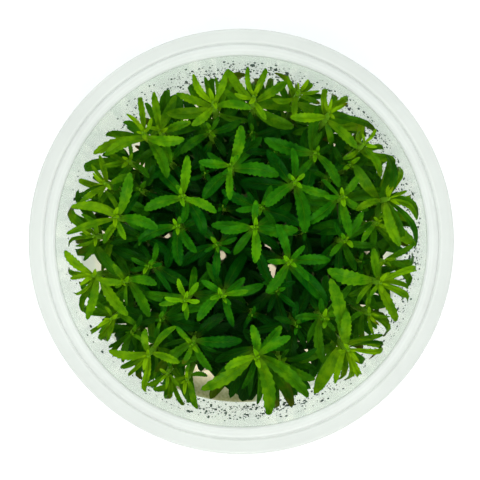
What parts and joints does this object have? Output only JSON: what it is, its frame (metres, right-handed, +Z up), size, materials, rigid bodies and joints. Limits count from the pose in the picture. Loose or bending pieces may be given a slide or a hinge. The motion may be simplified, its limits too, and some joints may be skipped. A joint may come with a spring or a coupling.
{
  "type": "rice paddy herb",
  "caption": "Open round translucent cup of culture gel, densely planted with leafy rice paddy herb shoots.",
  "frame": {"origin": "middle of the cup's foot, on the plane that it stands on", "axes": "+Z up along the cup's axis, +Y to the top of the picture's picture of it, +X to its right"},
  "size_m": [0.1, 0.1, 0.06],
  "materials": {
    "cup_plastic": "satin",
    "culture_gel": "satin",
    "leaf_green": "satin"
  },
  "bodies": {
    "root": {"cup": "cup_plastic", "culture_gel": "culture_gel", "shoot_01": "leaf_green", "shoot_02": "leaf_green", "shoot_03": "leaf_green", "shoot_04": "leaf_green", "shoot_05": "leaf_green", "shoot_06": "leaf_green", "shoot_07": "leaf_green", "shoot_08": "leaf_green", "shoot_09": "leaf_green", "shoot_10": "leaf_green", "shoot_11": "leaf_green", "shoot_12": "leaf_green", "shoot_13": "leaf_green", "shoot_14": "leaf_green", "shoot_15": "leaf_green", "shoot_16": "leaf_green", "shoot_17": "leaf_green", "shoot_18": "leaf_green", "shoot_19": "leaf_green", "shoot_20": "leaf_green", "shoot_21": "leaf_green", "shoot_22": "leaf_green", "shoot_23": "leaf_green", "shoot_24": "leaf_green", "shoot_25": "leaf_green", "shoot_26": "leaf_green", "shoot_27": "leaf_green", "shoot_28": "leaf_green", "shoot_29": "leaf_green", "shoot_30": "leaf_green", "shoot_31": "leaf_green", "shoot_32": "leaf_green", "shoot_33": "leaf_green", "shoot_34": "leaf_green", "shoot_35": "leaf_green", "shoot_36": "leaf_green", "shoot_37": "leaf_green", "shoot_38": "leaf_green", "shoot_39": "leaf_green", "shoot_40": "leaf_green", "shoot_41": "leaf_green", "shoot_42": "leaf_green", "shoot_43": "leaf_green", "shoot_44": "leaf_green", "shoot_45": "leaf_green", "shoot_46": "leaf_green", "shoot_47": "leaf_green", "shoot_48": "leaf_green", "shoot_49": "leaf_green", "shoot_50": "leaf_green", "shoot_51": "leaf_green", "shoot_52": "leaf_green", "shoot_53": "leaf_green", "shoot_54": "leaf_green", "shoot_55": "leaf_green", "shoot_56": "leaf_green", "shoot_57": "leaf_green", "shoot_58": "leaf_green"}
  },
  "joints": []
}
